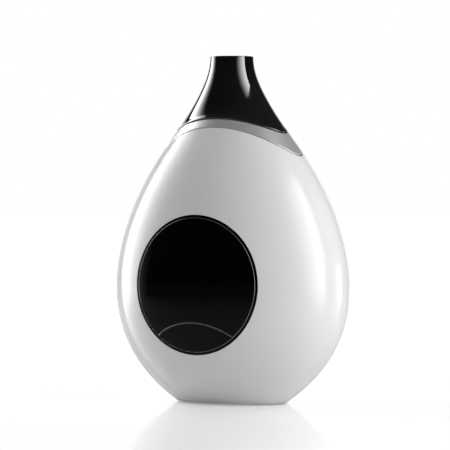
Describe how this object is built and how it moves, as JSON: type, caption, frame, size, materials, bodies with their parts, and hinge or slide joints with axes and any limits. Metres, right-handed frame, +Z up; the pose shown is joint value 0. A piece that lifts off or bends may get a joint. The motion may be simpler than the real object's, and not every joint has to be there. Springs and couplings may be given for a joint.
{
  "type": "cool mist humidifier",
  "caption": "Drop-shaped ultrasonic cool mist humidifier, filled from the top, with a lift-off flared nozzle and a round front panel.",
  "frame": {"origin": "centre of the footprint, on the surface that the feet stand on", "axes": "+Z up, the front panel faces -Y, +X to the right when seen from the front"},
  "size_m": [0.2552, 0.1682, 0.35],
  "materials": {
    "white_gloss": "high gloss white",
    "white_matt": "moulded, satin white",
    "silver": "satin silver, brushed round",
    "black_gloss": "piano black",
    "black_matt": "moulded black, fine grain",
    "tank_clear": "frosted, see-through",
    "foot_rubber": "matt",
    "silicone": "milky silicone",
    "screw_steel": "zinc plated",
    "contact_brass": "polished",
    "cast_aluminium": "bead blasted",
    "disc_plating": "plated piezo disc",
    "board_laminate": "green solder mask",
    "filter_foam": "open-cell foam",
    "lead_sheath": "grey PVC"
  },
  "bodies": {
    "housing": {"outer_shell": "white_gloss", "top_collar": "silver", "water_tank": "tank_clear", "tank_floor": "tank_clear", "mist_chimney": "tank_clear", "air_riser": "tank_clear", "float_cap": "white_matt", "reed_switch": "black_matt", "transducer_seal": "silicone", "transducer_disc": "disc_plating", "transducer_clamp": "cast_aluminium", "clamp_screw_1": "screw_steel", "clamp_screw_2": "screw_steel", "clamp_screw_3": "screw_steel", "base_plate": "black_matt", "rubber_foot_1": "foot_rubber", "rubber_foot_2": "foot_rubber", "rubber_foot_3": "foot_rubber", "rubber_foot_4": "foot_rubber", "base_screw_1": "screw_steel", "base_screw_2": "screw_steel", "base_screw_3": "screw_steel", "base_screw_4": "screw_steel", "driver_board": "board_laminate", "board_screw_1": "screw_steel", "board_screw_2": "screw_steel", "board_screw_3": "screw_steel", "board_screw_4": "screw_steel", "board_transformer": "black_matt", "board_capacitor": "black_matt", "board_heat_sink": "cast_aluminium", "fan_frame": "black_matt", "air_duct": "white_matt", "inlet_socket": "black_matt", "inlet_pin_1": "contact_brass", "inlet_pin_2": "contact_brass", "fascia_bezel": "black_gloss", "fascia_lens": "black_gloss", "display_board": "board_laminate", "display_screw_1": "screw_steel", "display_screw_2": "screw_steel", "display_screw_3": "screw_steel", "display_screw_4": "screw_steel", "display_module": "black_matt", "button_switch": "black_matt", "display_lead": "lead_sheath", "fan_lead": "lead_sheath", "transducer_lead": "lead_sheath", "inlet_lead": "lead_sheath", "sensor_lead": "lead_sheath"},
    "nozzle_lid": {"nozzle": "black_gloss", "nozzle_funnel": "white_matt"},
    "impeller": {"fan_impeller": "black_matt"},
    "float": {"level_float": "white_matt"},
    "button": {"control_button": "black_gloss"},
    "rear_filter": {"filter_cover": "white_gloss", "air_filter": "filter_foam"}
  },
  "joints": [
    {"name": "nozzle_lift", "type": "slide", "parent": "housing", "child": "nozzle_lid", "axis": [0, 0, 1], "range_m": [0, 0.1]},
    {"name": "fan_spin", "type": "hinge", "parent": "housing", "child": "impeller", "pos_m": [-0.036, 0.03288, 0.043], "axis": [0, 1, 0], "continuous": true},
    {"name": "float_rise", "type": "slide", "parent": "housing", "child": "float", "axis": [0, 0, 1], "range_m": [0, 0.022]},
    {"name": "button_press", "type": "slide", "parent": "housing", "child": "button", "axis": [0, 1, 0], "range_m": [0, 0.0008], "stiffness_N_per_m": 1500},
    {"name": "filter_pull", "type": "slide", "parent": "housing", "child": "rear_filter", "axis": [0, 1, 0], "range_m": [0, 0.045]}
  ]
}
